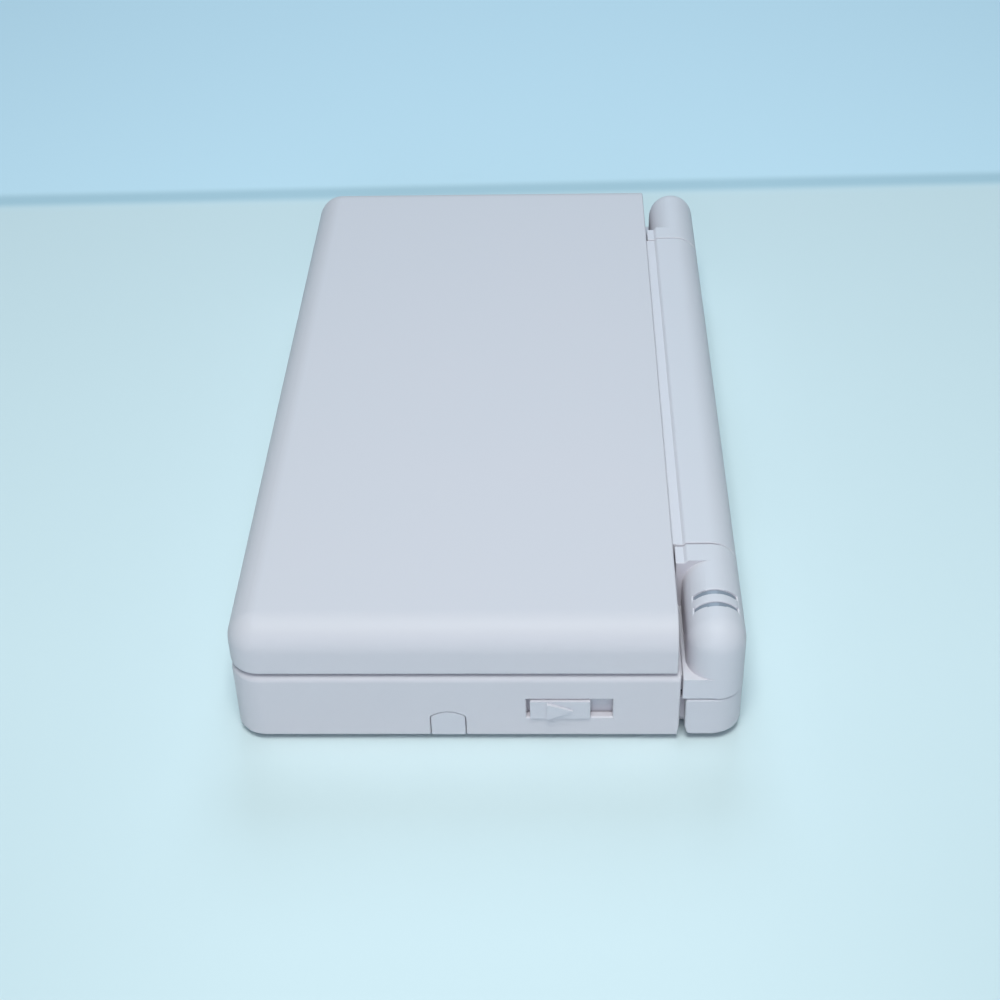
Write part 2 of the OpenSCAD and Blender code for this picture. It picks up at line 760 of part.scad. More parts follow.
module lower_inner_case() {
    color(deck_colour)
    difference() {
        union() {
            translate([0, 0, z_deck_under]) linear_extrude(inner_t)
                round_plan(2 * (inner_x - nest_gap), inner_front + nest_gap,
                           rear_y - 0.1, base_corner_r - shell_t - nest_gap);
            // Rear block under the barrel
            block([-knuckle_x - 0.1, block_front, z_knuckle_base],
                  [knuckle_x + 0.1, hinge_y - 2, z_deck]);
            block([-knuckle_x - 0.1, hinge_y - 3, z_knuckle_base],
                  [knuckle_x + 0.1, y_back, z_knuckle_base + rear_lip_h]);
            for (m = [0, 1]) mirror([m, 0, 0]) knuckle_with_base();
            // Screw columns down to the board
            for (p = base_screws)
                rod_z(p[0], p[1], z_board_top + 0.05, z_deck_under + 0.3, boss_r);
        }
        // Sockets of the hinge bush and shaft
        rod_x(-knuckle_x - seat, -knuckle_x + 1, hinge_y, hinge_z, clutch_r + 0.02);
        rod_x(knuckle_x - 1, knuckle_x + seat, hinge_y, hinge_z, shaft_r + 0.02);
        for (sx = [-1, 1])
            rod_z(sx * pin_x, pin_y, z_knuckle_base - 1, pin_top, shoulder_pin_r + 0.02);
        // Slits of the indicator lights
        indicator_slits(barrel_r - knuckle_wall - 0.5, barrel_r + 1, 0.96, 51);
        // Screen opening and seat of the touch panel
        translate([0, screen_y, z_deck_under - 1]) linear_extrude(1 + glass_t)
            square([window_w + 2 * screen_gap, window_d + 2 * screen_gap], center = true);
        translate([0, screen_y, z_deck_under]) linear_extrude(inner_t + 1)
            square([screen_w, screen_d], center = true);
        // Openings of the controls
        translate([-pad_x, control_y, z_deck_under - 1]) linear_extrude(inner_t + 2)
            cross_plan(pad_len + 0.7, pad_arm + 0.7);
        for (i = [0:3]) deck_opening(face_at(i)[0], face_at(i)[1], button_r + button_fit);
        for (p = menu_at) deck_opening(p[0], p[1], menu_r + button_fit);
        for (p = base_screws)
            rod_z(p[0], p[1], z_board_top - 1, z_deck - 0.6, screw_r);
    }
}

module touch_panel() {
    color(dark_colour)
    translate([-window_w / 2, screen_y - window_d / 2, z_deck_under])
        cube([window_w, window_d, glass_t - 0.05]);
}

module lower_screen_panel() {
    color(metal_colour)
    translate([-module_w / 2, screen_y - module_d / 2, z_deck_under - 2.15])
        cube([module_w, module_d, 2.1]);
}

module main_board() {
    notch_half = cart_w / 2 + 2;
    color(board_colour)
    difference() {
        block([-board_half_w, inner_front + 1.6, z_board], [board_half_w, board_back, z_board_top]);
        block([-notch_half, inner_front, z_board - 1], [notch_half, inner_front + cart_d + 1.4, z_board_top + 1]);
        for (p = base_screws)
            rod_z(p[0], p[1], z_board - 1, z_board_top + 1, screw_r + 0.3);
    }
}

module battery() {
    color(dark_colour)
    block([battery_x + 0.2, battery_y + 0.2, z_inside + 0.15],
          [battery_x + battery_w, battery_y + battery_d, z_inside + 0.15 + battery_h]);
}

module battery_cover() {
    color(shell_colour)
    difference() {
        block([battery_x + 0.1, battery_y + 0.1, z_floor],
              [battery_x + battery_w + 0.3, battery_y + cover_d + 0.3, z_inside]);
        rod_z(battery_screw[0], battery_screw[1], z_floor - 1, z_inside + 1, screw_r + 0.15);
        rod_z(battery_screw[0], battery_screw[1], z_floor - 1, z_floor + 0.55, head_r + 0.1);
    }
}

module battery_cover_screw() {
    color(metal_colour)
    screw_up(battery_screw[0], battery_screw[1], z_floor + 0.05, z_inside + 2.2, 0.5);
}

module case_screws() {
    color(metal_colour)
    for (p = base_screws)
        screw_up(p[0], p[1], z_floor + 0.3, z_deck - 1.2, 0.6);
}

module rubber_feet() {
    color(rubber_colour)
    for (p = feet_at)
        rod_z(p[0], p[1], 0, z_floor + 0.25, foot_r);
}

module card_slot() {
    wall = 0.9;
    back = y_back - shell_t - 0.1;
    color(metal_colour)
    difference() {
        block([-card_w / 2 - wall, back - card_d - 2, card_low - 0.6],
              [card_w / 2 + wall, back, z_board - 0.05]);
        block([-card_w / 2, back - card_d, card_low], [card_w / 2, back + 1, card_low + card_h]);
    }
}

module cartridge_slot() {
    wall = 1.2;
    color(dark_colour)
    union() {
        difference() {
            block([-cart_w / 2 - wall, inner_front + 0.1, cart_low],
                  [cart_w / 2 + wall, inner_front + cart_d + 1, cart_low + cart_h]);
            block([-cart_w / 2, inner_front - 1, cart_low - 1],
                  [cart_w / 2, inner_front + cart_d - 0.2, cart_low + cart_h + 1]);
        }
        block([-20, inner_front + cart_d - 3.5, cart_low + 3.2],
              [20, inner_front + cart_d, cart_low + 4.2]);
    }
}

module cartridge_slot_cover() {
    fit = 0.2;
    half = cart_w / 2 - fit;
    back = inner_front + cart_d - 6;
    color(shell_colour)
    difference() {
        block([-half, y_front, cart_low + fit], [half, back, cart_low + cart_h - fit]);
        block([-half + 1.2, y_front + 1.2, cart_low + fit + 1],
              [half - 1.2, back + 1, cart_low + cart_h - fit - 1]);
        // Finger groove
        rod_x(-9, 9, y_front - 0.6, cart_low + fit, 1.4);
    }
}

module audio_socket() {
    color(dark_colour)
    difference() {
        union() {
            block([jack_x - 3.1, inner_front + 0.1, z_inside + 0.1],
                  [jack_x + 3.1, inner_front + 12, z_board - 0.05]);
            rod_y(y_front + 0.2, inner_front + 0.2, jack_x, jack_z, 2.75);
        }
        rod_y(y_front - 1, inner_front + 11, jack_x, jack_z, jack_r);
    }
}

module charge_socket() {
    color(dark_colour)
    difference() {
        block([charge_x - 4.4, y_back - shell_t - charge_d, z_inside + 0.1],
              [charge_x + 4.4, y_back - shell_t - 0.1, z_knuckle_base - 0.1]);
        block([charge_x - 3.2, y_back - shell_t - charge_d + 2, z_inside + 1.8],
              [charge_x + 3.2, y_back, z_inside + 4.2]);
    }
    color(metal_colour)
    block([charge_x - 2, y_back - shell_t - charge_d + 1.5, z_inside + 2.8],
          [charge_x + 2, y_back - shell_t - 1, z_inside + 3.2]);
}

module wireless_module() {
    color(metal_colour)
    block([charge_x - 6, stylus_y + 5.7, z_board - 2.3],
          [half_w - 16.5, rear_y - 7.75, z_board - 0.05]);
}

module power_switch() {
    color(metal_colour)
    block([inner_x - 6.6, slot_y - 5.5, z_board - 2.6], [inner_x - 2.7, slot_y + 5.5, z_board - 0.05]);
}

slider_start = slot_y - slot_len / 2 + 0.5;

module power_slider() {
    z_mid = z_floor + slot_z;
    block_h = slot_h - 0.2;
    grip_y = slider_start + slider_len / 2 - grip_len / 2;
    grip_h = block_h * 0.9;
    face_x = half_w + slider_proud;
    color(button_colour)
    union() {
        block([inner_x - 1, slider_start, z_mid - block_h / 2],
              [face_x, slider_start + slider_len, z_mid + block_h / 2]);
        // Plate behind the wall
        block([inner_x - 1, slider_start - 2, z_mid - slot_h / 2 - 0.7],
              [inner_x - 0.15, slider_start + slider_len + 5.5, z_mid + slot_h / 2 + 0.7]);
        // Fork over the switch
        block([inner_x - 2.4, slider_start + slider_len / 2 - 2, z_mid - 1],
              [inner_x - 0.9, slider_start + slider_len / 2 + 2, z_mid + 1]);
        // Arrow-shaped grip, highest at its blunt end
        intersection() {
            translate([face_x - 0.1, 0, 0]) rotate([90, 0, 90]) linear_extrude(1 + grip_proud)
                polygon([[grip_y, z_mid - grip_h / 2], [grip_y + grip_len, z_mid],
                         [grip_y, z_mid + grip_h / 2]]);
            translate([0, 0, z_mid - slot_h]) linear_extrude(2 * slot_h)
                polygon([[face_x - 1, grip_y - 1], [face_x + grip_proud, grip_y - 1],
                         [face_x + grip_proud, grip_y],
                         [face_x + 0.55 * grip_proud, grip_y + grip_len],
                         [face_x + 0.55 * grip_proud, grip_y + grip_len + 1],
                         [face_x - 1, grip_y + grip_len + 1]]);
        }
    }
}

module volume_switch() {
    color(metal_colour)
    block([-volume_x - 6, inner_front + 2.6, z_board - 3.4], [-volume_x + 6, inner_front + 6, z_board - 0.05]);
}

module volume_slider() {
    z_mid = z_inside + 4;
    color(button_colour)
    union() {
        block([-volume_x - 1.8, y_front + 0.15, z_mid - 0.65],
              [-volume_x + 1.8, inner_front + 1, z_mid + 0.65]);
        block([-volume_x - 4.5, inner_front + 0.15, z_mid - 1.5],
              [-volume_x + 4.5, inner_front + 1, z_mid + 1.5]);
        block([-volume_x - 1, inner_front + 0.9, z_mid - 0.8],
              [-volume_x + 1, inner_front + 2.3, z_mid + 0.8]);
    }
}

module shoulder_switches() {
    color(dark_colour)
    for (sx = [-1, 1])
        translate([sx * (half_w - 6), rear_y - 0.25, button_low + 2])
            union() {
                translate([-2.5, 0, 0]) cube([5, 1.6, 3]);
                translate([-0.8, 1.5, 0.7]) cube([1.6, 0.55, 1.6]);
            }
}

module shoulder_pins() {
    color(metal_colour)
    for (sx = [-1, 1])
        rod_z(sx * pin_x, pin_y, pin_low, pin_top, shoulder_pin_r);
}

module shoulder_button() {
    rib_x = half_w - 6;
    color(button_colour)
    difference() {
        union() {
            difference() {
                translate([0, 0, button_low]) linear_extrude(button_top - button_low)
                    button_plan(button_x, button_front, 0);
                // Hollow behind the outer skin, open to the front
                translate([0, 0, button_low + 1]) linear_extrude(button_top - button_low - 2)
                    button_plan(pin_x + 3, button_front - 2, shoulder_t);
            }
            // Rib that presses the switch
            block([rib_x - 1, button_front + 1, button_low + 0.5],
                  [rib_x + 1, y_back - shoulder_t + 0.2, button_top - 0.5]);
        }
        rod_z(pin_x, pin_y, 0, z_top, shoulder_pin_r + run_gap);
        // Slanted corner at the notch in the floor
        translate([button_x - 1, 0, 0]) rotate([90, 0, 90]) linear_extrude(shoulder_w + 2)
            polygon([[button_front - 1, button_low - 1], [button_front + 0.71, button_low - 1],
                     [button_front, z_floor + 2.2], [button_front - 1, z_floor + 2.2]]);
        // Relief round the switch
        block([rib_x - 3.5, 0, button_low - 1], [rib_x + 3.5, button_front + 1.5, button_top + 1]);
    }
}

module left_shoulder_button() { mirror([1, 0, 0]) shoulder_button(); }
module right_shoulder_button() { shoulder_button(); }

module hinge_bush() {
    color(metal_colour)
    difference() {
        rod_x(-knuckle_x - seat + 0.1, -barrel_half + pin_reach, hinge_y, hinge_z, clutch_r);
        rod_x(-knuckle_x - seat - 1, -barrel_half + pin_reach + 1, hinge_y, hinge_z, clutch_r - 0.9);
    }
}

module hinge_shaft() {
    color(metal_colour)
    rod_x(barrel_half - pin_reach + 0.3, knuckle_x + seat - 0.1, hinge_y, hinge_z, shaft_r);
}

module indicator_guides() {
    color(guide_colour)
    union() {
        indicator_slits(barrel_r - knuckle_wall - 0.8, barrel_r - 0.25, 0.92, 50.5);
        translate([indicator_x[0] - 0.9, hinge_y, hinge_z]) rotate([90, 0, 90])
            linear_extrude(indicator_x[1] - indicator_x[0] + 1.8)
            intersection() {
                difference() {
                    circle(barrel_r - knuckle_wall - 0.1);
                    circle(barrel_r - knuckle_wall - 1.1);
                }
                translate([-4, 0]) square([8, 5]);
            }
    }
}

module membrane(x, y, w, d, domes, dome_r) {
    color(rubber_colour)
    union() {
        block([x - w / 2, y - d / 2, z_board_top + 0.02], [x + w / 2, y + d / 2, z_board_top + 0.6]);
        for (p = domes) rod_z(p[0], p[1], z_board_top + 0.5, z_board_top + dome_h, dome_r);
    }
}

pad_reach = pad_len / 2 - 2.2;

module pad_membrane() {
    membrane(-pad_x, control_y, pad_len + 2, pad_len + 2,
             [for (a = [0:90:270]) [-pad_x + pad_reach * cos(a), control_y + pad_reach * sin(a)]], 2);
}

module face_membrane() {
    membrane(cluster_x, control_y, 2 * cluster_r + 7, 2 * cluster_r + 7,
             [for (i = [0:3]) face_at(i)], 2.6);
}

module menu_membrane() {
    membrane(menu_x, (menu_at[0][1] + menu_at[1][1]) / 2, 6, 13, menu_at, 1.6);
}

// A press button: cap through the deck, flange under it
module press_button(x, y, r) {
    flange = 0.8;
    low = z_board_top + dome_h + press + 0.05;
    color(button_colour)
    union() {
        rod_z(x, y, low, z_deck + button_proud, r);
        rod_z(x, y, low, z_deck_under - 0.1, r + flange);
    }
}

module face_button_back() { press_button(face_at(0)[0], face_at(0)[1], button_r); }
module face_button_right() { press_button(face_at(1)[0], face_at(1)[1], button_r); }
module face_button_front() { press_button(face_at(2)[0], face_at(2)[1], button_r); }
module face_button_left() { press_button(face_at(3)[0], face_at(3)[1], button_r); }
module start_button() { press_button(menu_at[0][0], menu_at[0][1], menu_r); }
module select_button() { press_button(menu_at[1][0], menu_at[1][1], menu_r); }

module direction_pad() {
    low = z_board_top + dome_h + press + 0.05;
    color(button_colour)
    difference() {
        union() {
            translate([-pad_x, control_y, low]) linear_extrude(z_deck + button_proud - low)
                cross_plan(pad_len, pad_arm);
            rod_z(-pad_x, control_y, low, z_deck_under - 0.65, pad_len / 2 + 0.2);
        }
        // Socket of the pivot, and the thumb hollow on top
        rod_z(-pad_x, control_y, low - 1, z_deck_under - 0.6, 1.6);
        translate([-pad_x, control_y, z_deck + button_proud + 13.6]) sphere(14);
    }
}

module pad_pivot() {
    color(rubber_colour)
    rod_z(-pad_x, control_y, z_board_top + 0.75, z_deck_under - 0.9, 1.2);
}

module stylus() {
    color(button_colour)
    union() {
        difference() {
            translate([inner_x - 0.4, 0, 0]) rotate([90, 0, 90])
                linear_extrude(shell_t + 0.3) stylus_section(0, z_floor + 0.05);
            // Bevel under the end
            translate([0, stylus_y + stylus_w, 0]) rotate([90, 0, 0]) linear_extrude(2 * stylus_w)
                polygon([[half_w - 0.8, z_floor], [half_w, z_floor + 0.75], [half_w, z_floor - 1],
                         [half_w - 0.8, z_floor - 1]]);
        }
        rod_x(half_w - stylus_len + stylus_r, inner_x - 0.3, stylus_y, stylus_z, stylus_r);
        translate([half_w - stylus_len + stylus_r, stylus_y, stylus_z]) sphere(stylus_r);
    }
}

lid_outer_cover();
lid_inner_bezel();
upper_screen_window();
upper_screen_panel();
left_speaker();
right_speaker();
microphone();
wireless_antenna();
lid_magnet();
lid_screws();
lid_bumpers();
hinge_clutch();
lower_outer_case();
lower_inner_case();
touch_panel();
lower_screen_panel();
main_board();
battery();
battery_cover();
battery_cover_screw();
case_screws();
rubber_feet();
card_slot();
cartridge_slot();
audio_socket();
charge_socket();
wireless_module();
power_switch();
volume_switch();
shoulder_switches();
shoulder_pins();
hinge_bush();
hinge_shaft();
indicator_guides();
pad_membrane();
face_membrane();
menu_membrane();
pad_pivot();
direction_pad();
face_button_back();
face_button_right();
face_button_front();
face_button_left();
start_button();
select_button();
left_shoulder_button();
right_shoulder_button();
power_slider();
volume_slider();
stylus();
cartridge_slot_cover();
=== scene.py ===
"""Looks of a clamshell handheld game console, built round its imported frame."""

import json
import math
from contextlib import contextmanager

import bmesh
import bpy
from mathutils import Matrix, Vector


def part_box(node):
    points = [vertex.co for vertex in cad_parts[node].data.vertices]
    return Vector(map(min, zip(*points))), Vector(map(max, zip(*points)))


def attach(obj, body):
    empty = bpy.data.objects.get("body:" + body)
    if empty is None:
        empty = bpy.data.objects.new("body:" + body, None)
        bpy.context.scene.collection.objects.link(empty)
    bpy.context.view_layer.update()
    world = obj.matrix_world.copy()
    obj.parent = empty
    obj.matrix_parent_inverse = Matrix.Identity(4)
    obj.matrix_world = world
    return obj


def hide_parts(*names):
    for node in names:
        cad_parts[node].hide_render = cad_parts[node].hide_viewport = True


bl_info = {
    "name": "Clamshell Handheld Console",
    "version": (1, 0, 0),
    "blender": (4, 5, 0),
    "location": "3D View > Sidebar > Console",
    "description": "Dresses a clamshell handheld game console in satin plastic, glass and metal",
    "category": "Object",
}

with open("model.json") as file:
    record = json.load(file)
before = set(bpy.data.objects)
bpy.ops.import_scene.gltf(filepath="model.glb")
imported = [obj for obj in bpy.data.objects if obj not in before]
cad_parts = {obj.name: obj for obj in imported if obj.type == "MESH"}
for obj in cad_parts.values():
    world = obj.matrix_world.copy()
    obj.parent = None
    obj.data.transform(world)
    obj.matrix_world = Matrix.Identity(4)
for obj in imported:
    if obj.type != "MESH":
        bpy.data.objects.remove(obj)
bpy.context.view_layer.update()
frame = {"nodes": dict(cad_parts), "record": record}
NODES = frame["nodes"]
SLOT_OF = {part["node"]: part["material_slot"] for part in frame["record"]["subparts"]}
BODY_OF = {
    node: body
    for body, nodes in frame["record"]["behaviour"]["bodies"].items()
    for node in nodes
}
FINISHES = {}

MM = 0.001

# Angles between two faces that meet at an edge.
FLAT_ANGLE = 0.01                     # Below this they lie in one plane.
OUTER_ANGLE = math.radians(32.0)      # An edge that stands out by more than this is rounded.
INNER_ANGLE = math.radians(13.0)      # A crease that is deeper than this stays crisp.
SMOOTH_ANGLE = math.radians(28.0)     # Below this they are shaded as one surface.

# How edges are rounded.
WELD = 0.001 * MM                     # Points nearer than this are one.
SMALL_RIM = 2.0 * MM                  # The rim of a hole up to this size stays crisp.
ROOM_NEEDED = 2.1                     # The depth of flat beside an edge, in widths of a rounding.
NEAR_END, FAR_END = 0.02, 0.98        # The part of an edge that needs the room, as shares of it.
EDGE_SEGMENTS = 3
CAP_SEGMENTS = 4
MENU_BUTTON_TIMES = 2.0               # How much rounder start and select are than small parts.

# The visible end of the stylus.
PEN_END = 1.5 * MM
PEN_WIDER = 0.11 * MM

# The stage, in metres where nothing else is said.
SENSOR_WIDTH = 36.0                   # Millimetres.
NEAREST = 0.01                        # What is nearer to the camera isn't seen.
TABLE_SIZE = 6.0
CORNER_SHADE_ALONG = (0.04, 0.13)           # Where painted shade starts at the table's near corners,
CORNER_SHADE_ACROSS = (0.02, 0.10)          # and where that painted shade is darkest.
ZONE_BLUR = 0.006
SHADOW_LINE_SHIFT = 0.001
SHADOW_LINE_FADE = (0.0005, 0.0045)          # From the middle of the painted shadow line outward.
LAMP_AIM = (0.05, 0.0, 0.0)
LAMPS = (
    # Name, place, side, power in watts, colour.
    ("key_light", (0.31, 0.0, 0.62), 0.25, 2.85, (0.90, 0.97, 0.97)),
    ("front_light", (0.80, 0.0, 0.35), 0.4, 1.85, (0.65, 0.74, 0.94)),
    ("back_light", (-0.60, 0.0, 0.60), 0.4, 2.1, (0.62, 0.80, 1.0)),
    ("top_light", (0.05, 0.0, 0.80), 0.3, 0.9, (0.64, 0.92, 1.0)),
)


# ---- Shader maths ----


def fill(node, values):
    """Gives sockets of a node their wires or their plain values."""
    for key, value in values.items():
        if isinstance(value, Wire):
            value.tree.links.new(value.socket, node.inputs[key])
        else:
            node.inputs[key].default_value = value


class Wire:
    """A socket in a node tree. Arithmetic on it adds Math nodes, and node() adds any other."""

    def __init__(self, tree, socket=None):
        self.tree = tree
        self.socket = socket

    def node(self, kind, settings=None, values=None, out=0):
        """Adds a node, gives it its settings, then fills its sockets with values or wires."""
        made = self.tree.nodes.new(kind)
        for name, value in (settings or {}).items():
            setattr(made, name, value)
        fill(made, values or {})
        return Wire(self.tree, made.outputs[out])

    def math(self, operation, *values):
        """Adds a Math node on plain values or wires."""
        return self.node("ShaderNodeMath", {"operation": operation}, dict(enumerate(values)))

    def absolute(self):
        """This wire without its sign."""
        return self.math("ABSOLUTE", self)

    def fraction(self):
        """What this wire has beyond a whole number."""
        return self.math("FRACT", self)

    def larger(self, other):
        """The larger of two wires."""
        return self.math("MAXIMUM", self, other)

    def swing(self, spread):
        """Noise from 0 to 1 turned into one about 0, with this spread."""
        return (self - 0.5) * spread

    def mix(self, low, high):
        """A colour between two, by this wire as the share of the second."""
        values = {0: self, 6: low, 7: high}     # 6 and 7 take colours, and 2 gives one.
        return self.node("ShaderNodeMix", {"data_type": "RGBA"}, values, out=2)

    def step(self, low, high):
        """Rises smoothly from 0 to 1 while this wire goes from low to high."""
        values = {"Value": self, "From Min": low, "From Max": high}
        return self.node("ShaderNodeMapRange", {"interpolation_type": "SMOOTHSTEP"}, values)

    def __add__(self, other):
        return self.math("ADD", self, other)

    def __sub__(self, other):
        return self.math("SUBTRACT", self, other)

    def __mul__(self, other):
        return self.math("MULTIPLY", self, other)

    def __radd__(self, other):
        return self.math("ADD", other, self)

    def __rsub__(self, other):
        return self.math("SUBTRACT", other, self)

    def __rmul__(self, other):
        return self.math("MULTIPLY", other, self)


def new_material(name):
    """A material with a Principled shader, and a Wire that starts from its tree."""
    material = bpy.data.materials.new(name)
    material.use_nodes = True
    shader = material.node_tree.nodes["Principled BSDF"]
    return material, shader, Wire(material.node_tree)


def place(start):
    """Object coordinates, in metres."""
    return start.node("ShaderNodeTexCoord", out="Object")


def axis_of(where, index):
    """One of X, Y and Z of a place, by its number."""
    return where.node("ShaderNodeSeparateXYZ", None, {0: where}, out=index)


def noise(start, scale, detail=2.0, roughness=0.5, where=None):
    """Noise from 0 to 1, its scale in features a metre."""
    where = place(start) if where is None else where
    values = {"Vector": where, "Scale": scale, "Detail": detail, "Roughness": roughness}
    return start.node("ShaderNodeTexNoise", None, values)


def bump(start, height, depth):
    """A normal for a surface with this height, its depth in millimetres."""
    values = {"Height": height, "Distance": depth * MM, "Strength": 1.0}
    return start.node("ShaderNodeBump", None, values)


def opaque(colour):
    """A colour with full alpha."""
    return (*colour, 1.0)


def tinted(colour, red, green, blue):
    """An opaque colour with each channel scaled, kept within 1."""
    return opaque(min(1.0, c * factor) for c, factor in zip(colour, (red, green, blue)))


def shaded(colour, factor):
    """An opaque colour made darker or lighter."""
    return tinted(colour, factor, factor, factor)


# ---- Finishes ----


def moulded_plastic(name, colour, roughness, grain=0.004):
    """Moulded plastic: an even colour with faint clouding, and a fine grain from the mould.

    The grain's depth is in millimetres.
    """
    material, shader, start = new_material(name)
    cloud = noise(start, scale=1.0 / 0.022, detail=3.0)
    flow = noise(start, scale=9.0, detail=1.0)
    fine = noise(start, scale=5200.0, roughness=0.6)
    clouded = cloud.mix(tinted(colour, 1.0, 0.985, 0.99), tinted(colour, 0.985, 1.0, 1.01))
    fill(shader, {
        "Base Color": (flow * 0.5).mix(clouded, tinted(colour, 0.97, 0.975, 0.98)),
        "Roughness": roughness + fine.swing(0.08) + cloud.swing(0.06),
        "Normal": bump(start, fine, depth=grain),
        "IOR": 1.48,
    })
    return material


def screen_glass(name, colour, border_at):
    """A hard-coated window: dark glass, a black printed border and a few faint wipe marks.

    The border starts at this distance from the middle, in metres.
    """
    material, shader, start = new_material(name)
    blur = 0.0001
    wipes = noise(start, scale=70.0, detail=4.0, roughness=0.65)
    across = axis_of(place(start), 0).absolute()
    inside = 1.0 - across.step(border_at - blur, border_at + blur)
    fill(shader, {
        "Base Color": inside.mix(opaque((0.006, 0.006, 0.007)), opaque(colour)),
        "Roughness": 0.05 + wipes.step(0.45, 0.8) * 0.10,
        "Normal": bump(start, wipes, depth=0.0006),
        "Coat Weight": 1.0,
        "Coat Roughness": 0.04,
    })
    return material


def liquid_crystal(name, colour):
    """A liquid crystal panel: dark, with the fine grid of its dots."""
    material, shader, start = new_material(name)
    dots_a_metre = 4000.0
    where = place(start)
    columns = (axis_of(where, 0) * dots_a_metre).fraction().step(0.75, 1.0)
    rows = (axis_of(where, 1) * dots_a_metre).fraction().step(0.75, 1.0)
    fill(shader, {
        "Base Color": rows.larger(columns).mix(opaque(colour), shaded(colour, 0.5)),
        "Roughness": 0.18 + noise(start, scale=300.0) * 0.12,
    })
    return material


def steel(name, colour, roughness):
    """Bright steel with fine drawn lines and a few dull spots."""
    material, shader, start = new_material(name)
    values = {"Vector": place(start), "Scale": (1.0, 12.0, 1.0)}
    drawn = start.node("ShaderNodeMapping", None, values)
    lines = noise(start, scale=900.0, detail=3.0, where=drawn)
    spots = noise(start, scale=500.0, detail=4.0).step(0.55, 0.8)
    fill(shader, {
        "Base Color": lines.mix(opaque(colour), shaded(colour, 0.88)),
        "Roughness": roughness + lines * 0.15 + spots * 0.1,
        "Normal": bump(start, lines, depth=0.002),
        "Metallic": 1.0,
    })
    return material


def circuit_board(name, colour):
    """Solder mask over copper tracks, with small tinned pads."""
    material, shader, start = new_material(name)
    settings = {"distance": "MANHATTAN", "feature": "F1"}
    values = {"Vector": place(start), "Scale": 420.0}
    pads = 1.0 - start.node("ShaderNodeTexVoronoi", settings, values).step(0.10, 0.14)
    settings = {"offset": 0.5, "squash": 1.0}
    values = {"Vector": place(start), "Scale": 260.0, "Mortar Size": 0.06}
    lanes = start.node("ShaderNodeTexBrick", settings, values, out="Fac")
    mask = lanes.mix(opaque(colour), tinted(colour, 0.6, 0.7, 0.65))
    fill(shader, {
        "Base Color": pads.mix(mask, opaque((0.62, 0.60, 0.55))),
        "Metallic": pads,
        "Roughness": 0.32 + pads * 0.1,
        "Normal": bump(start, lanes, depth=0.02),
    })
    return material


def soft_rubber(name, colour):
    """Soft rubber: dull, faintly mottled and dusty."""
    material, shader, start = new_material(name)
    dust = noise(start, scale=260.0, detail=5.0, roughness=0.7).step(0.5, 0.9)
    fine = noise(start, scale=3000.0, detail=3.0)
    fill(shader, {
        "Base Color": dust.mix(opaque(colour), shaded(colour, 1.25)),
        "Roughness": 0.72 + fine * 0.2,
        "Normal": bump(start, fine, depth=0.01),
    })
    return material


def frosted_guide(name, colour):
    """A frosted light guide: cloudy and a little glossy."""
    material, shader, start = new_material(name)
    haze = noise(start, scale=700.0, detail=4.0)
    fill(shader, {
        "Base Color": haze.mix(shaded(colour, 0.92), shaded(colour, 1.08)),
        "Roughness": 0.34 + haze * 0.2,
        "Coat Weight": 0.2,
    })
    return material


def table_top(stage):
    """A plain pale table top with painted shade at its near corners, bluer beyond a soft line of
    painted shadow.
    """
    material, shader, start = new_material("table_top")
    where = place(start)
    along, across = axis_of(where, 0), axis_of(where, 1)
    # Painted shade: the table darkens towards its near corners, where the light falls off.
    painted_corner_shade = along.step(*CORNER_SHADE_ALONG) * across.absolute().step(*CORNER_SHADE_ACROSS)
    near = painted_corner_shade.mix(opaque(stage.floor_colour), tinted(stage.floor_colour, 0.88, 0.905, 0.915))
    cloudy = (noise(start, scale=8.0) * 0.015).mix(near, opaque((0.0, 0.0, 0.0)))
    beyond = along + across * stage.line_slope + stage.line_behind
    zones = (1.0 - beyond.step(-ZONE_BLUR, ZONE_BLUR)).mix(cloudy, opaque(stage.far_colour))
    # Painted shadow: a soft dark line along the edge of the far zone, where a table edge would lie
    # in shade.
    line = 1.0 - (beyond + SHADOW_LINE_SHIFT).absolute().step(*SHADOW_LINE_FADE)
    fill(shader, {
        # The painted shadow line darkens the table to a shaded copy of the far colour.
        "Base Color": (line * 0.9).mix(zones, tinted(stage.far_colour, 0.69, 0.75, 0.76)),
        "Roughness": 0.6,
    })
    return material


def add_object(name, data):
    """A new object in the scene."""
    made = bpy.data.objects.new(name, data)
    bpy.context.scene.collection.objects.link(made)
    return made


def put_on_finish(piece, name):
    """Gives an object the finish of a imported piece's slot."""
    piece.data.materials.clear()
    piece.data.materials.append(FINISHES[SLOT_OF[name]])


class CONSOLE_OT_finishes(bpy.types.Operator):
    """Mix every finish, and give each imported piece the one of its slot"""

    bl_idname = "console.finishes"
    bl_label = "Finishes"

    def execute(self, context):
        colours = context.scene.console_colours
        FINISHES.update({
            "shell": moulded_plastic("satin_shell", colours.shell, 0.54),
            "deck": moulded_plastic("matt_deck", colours.deck, 0.58, grain=0.008),
            "button": moulded_plastic("satin_button", colours.button, 0.50, grain=0.003),
            "window": screen_glass("dark_window", (0.018, 0.020, 0.024), border_at=0.0310),
            "screen": liquid_crystal("dark_screen", (0.030, 0.032, 0.036)),
            "metal": steel("drawn_steel", (0.72, 0.72, 0.73), 0.25),
            "board": circuit_board("green_board", (0.02, 0.12, 0.07)),
            "dark_plastic": moulded_plastic("dark_plastic", colours.dark, 0.45, grain=0.01),
            "rubber": soft_rubber("grey_rubber", (0.30, 0.30, 0.33)),
            "light_guide": frosted_guide("frosted_guide", colours.guide),
        })
        for name, node in NODES.items():
            put_on_finish(node, name)
        return {"FINISHED"}


# ---- Pieces with softened edges ----


